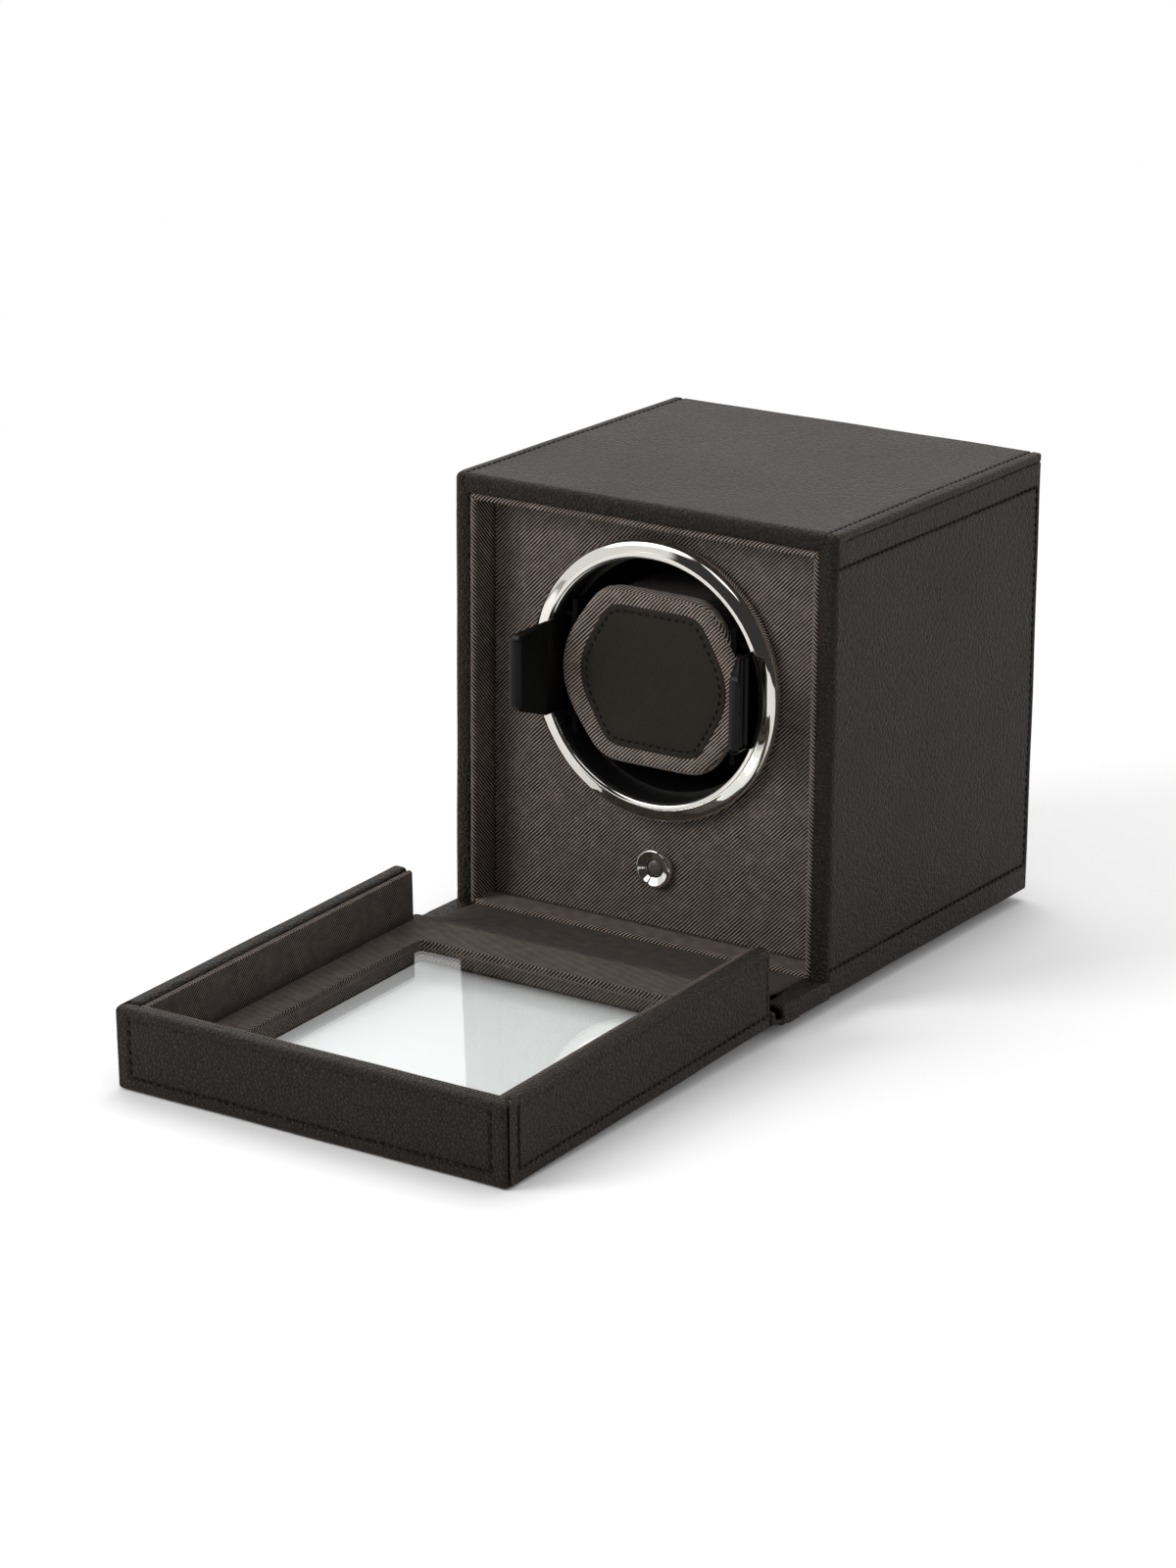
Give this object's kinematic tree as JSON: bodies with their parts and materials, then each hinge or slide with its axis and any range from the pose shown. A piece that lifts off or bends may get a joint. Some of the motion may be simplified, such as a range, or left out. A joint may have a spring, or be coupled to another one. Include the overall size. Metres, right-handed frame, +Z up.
{
  "type": "watch winder",
  "caption": "Leather-covered cube case with a drop-down glass cover, a motor-driven drum in a chrome ring, a padded watch cuff with sprung grips, and a push button.",
  "frame": {"origin": "on the table, below the middle of the whole part with its cover open", "axes": "+X to the right as seen from the front, +Y from the open cover towards the back of the case, +Z up"},
  "size_m": [0.14, 0.3042, 0.152],
  "materials": {
    "leather": "black pebble-grained leather with a low sheen",
    "twill": "brown-grey diagonal twill",
    "board": "plain fibreboard",
    "chrome": "polished",
    "glass": "clear and smooth",
    "black_plastic": "matt black",
    "gloss_black": "semi-gloss black",
    "clear_cap": "smooth translucent grey",
    "steel": "plain bright steel",
    "magnet": "nickel plated",
    "bronze": "plain sintered bronze",
    "rubber": "matt black",
    "circuit": "green laminate"
  },
  "bodies": {
    "case": {"back_board": "board", "back_leather": "leather", "back_screws": "steel", "base_board": "board", "base_leather": "leather", "bezel_ring": "chrome", "board_screws": "steel", "button_bezel": "chrome", "case_magnets": "magnet", "control_board": "circuit", "corner_battens": "board", "drive_belt": "rubber", "drum_housing": "black_plastic", "feet": "rubber", "front_panel": "twill", "gear_motor": "steel", "hinge_leather": "leather", "hinge_lining": "twill", "housing_screws": "steel", "jamb_lining": "twill", "left_board": "board", "left_leather": "leather", "motor_leads": "rubber", "motor_screws": "steel", "power_inlet": "black_plastic", "power_leads": "rubber", "push_switch": "black_plastic", "right_board": "board", "right_leather": "leather", "shelf_lining": "twill", "spindle_bush": "bronze", "top_board": "board", "top_leather": "leather"},
    "cover": {"cover_board": "board", "near_wall_board": "board", "left_wall_board": "board", "right_wall_board": "board", "near_wall_leather": "leather", "left_wall_leather": "leather", "right_wall_leather": "leather", "wall_linings": "twill", "rail_lining": "twill", "cover_leather": "leather", "glass_pane": "glass", "cover_magnets": "magnet"},
    "drum": {"drum": "black_plastic", "spindle": "steel", "drum_pulley": "black_plastic", "cuff_core": "black_plastic", "cuff_padding": "twill", "cuff_face": "twill", "cuff_leather": "leather", "grip_pins": "steel", "grip_springs": "steel"},
    "left_grip": {"left_grip": "gloss_black"},
    "right_grip": {"right_grip": "gloss_black"},
    "motor": {"motor_pulley": "black_plastic", "motor_shaft": "steel"},
    "button": {"button_cap": "clear_cap"}
  },
  "joints": [
    {"name": "cover_hinge", "type": "hinge", "parent": "case", "child": "cover", "pos_m": [0, -0.00443, 0.0051], "axis": [-1, 0, 0], "range_deg": [0, 91.99], "deforming": ["hinge_leather", "hinge_lining"]},
    {"name": "drum_spin", "type": "hinge", "parent": "case", "child": "drum", "pos_m": [0, 0.06207, 0.0929], "axis": [0, 1, 0], "continuous": true},
    {"name": "motor_spin", "type": "hinge", "parent": "case", "child": "motor", "pos_m": [0.034, 0.08807, 0.0335], "axis": [0, 1, 0], "continuous": true},
    {"name": "left_grip_squeeze", "type": "hinge", "parent": "drum", "child": "left_grip", "pos_m": [-0.0324, 0.03407, 0.0929], "axis": [0, 0, 1], "range_deg": [0, 6], "stiffness_Nm_per_rad": 0.05},
    {"name": "right_grip_squeeze", "type": "hinge", "parent": "drum", "child": "right_grip", "pos_m": [0.0324, 0.03407, 0.0929], "axis": [0, 0, -1], "range_deg": [0, 6], "stiffness_Nm_per_rad": 0.05},
    {"name": "button_press", "type": "slide", "parent": "case", "child": "button", "axis": [0, 1, 0], "range_m": [0, 0.0008], "stiffness_N_per_m": 800}
  ],
  "couplings": [
    {"joint": "motor_spin", "follows": "drum_spin", "ratio": 3.3333}
  ]
}
